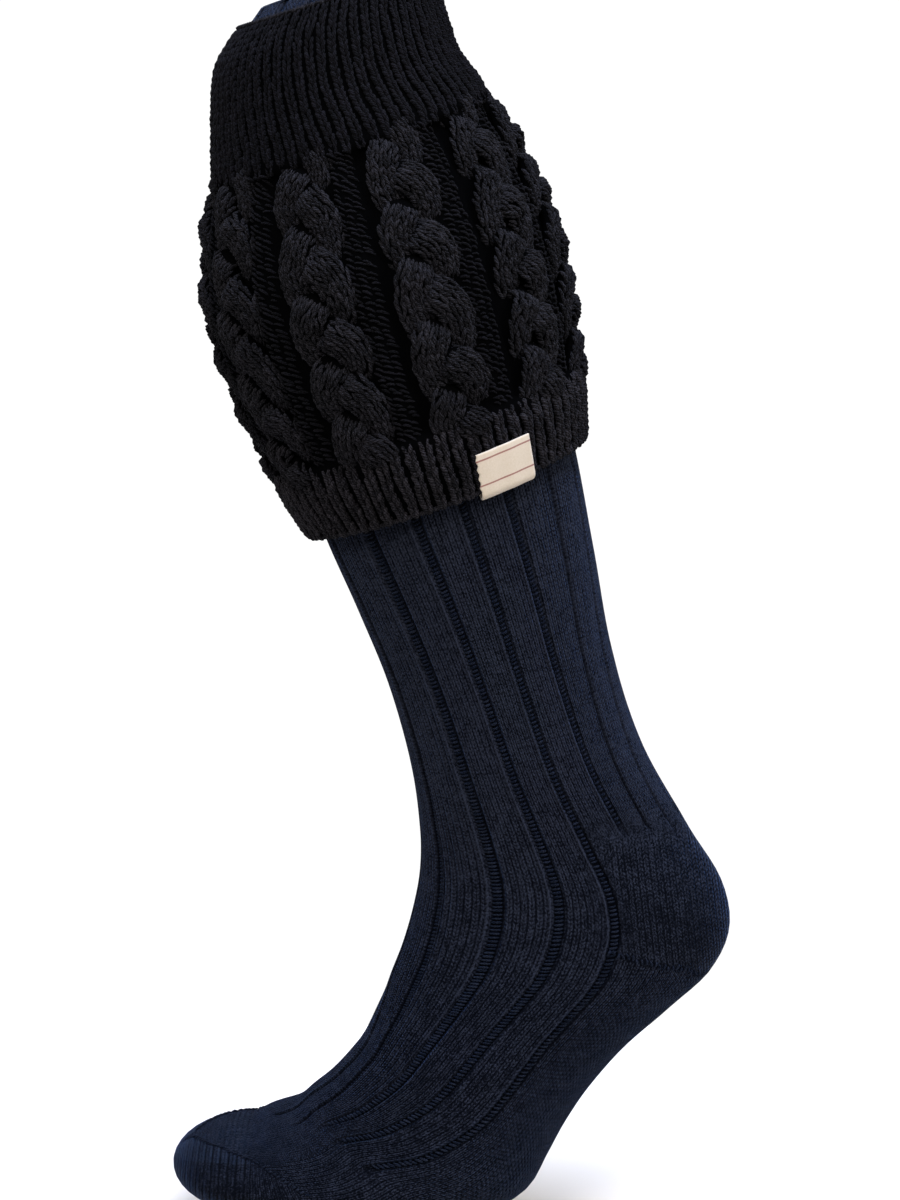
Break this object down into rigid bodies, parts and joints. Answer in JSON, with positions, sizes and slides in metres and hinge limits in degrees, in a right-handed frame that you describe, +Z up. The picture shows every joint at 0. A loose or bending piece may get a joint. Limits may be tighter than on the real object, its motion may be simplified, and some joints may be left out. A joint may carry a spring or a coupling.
{
  "type": "knee sock",
  "caption": "Knee sock worn on tiptoe: fine ribbed leg, heel, foot and toe, with a heavy plaited-cable cuff turned down over the calf and a small bare woven label.",
  "frame": {"origin": "inside the heel pocket, where the wearer's heel sits", "axes": "+Z up, the way the leg goes in; toes point towards -Y; the label is on the +X side"},
  "size_m": [0.125, 0.2108, 0.4763],
  "materials": {
    "navy_fine_knit": "matt fine-gauge wool knit in dark navy",
    "black_heavy_knit": "matt heavy wool knit, near black, slightly fuzzy",
    "cream_ribbon": "woven cream ribbon with a plain coloured border"
  },
  "bodies": {
    "root": {"sock_body": "navy_fine_knit", "cable_cuff": "black_heavy_knit", "woven_label": "cream_ribbon"}
  },
  "joints": []
}
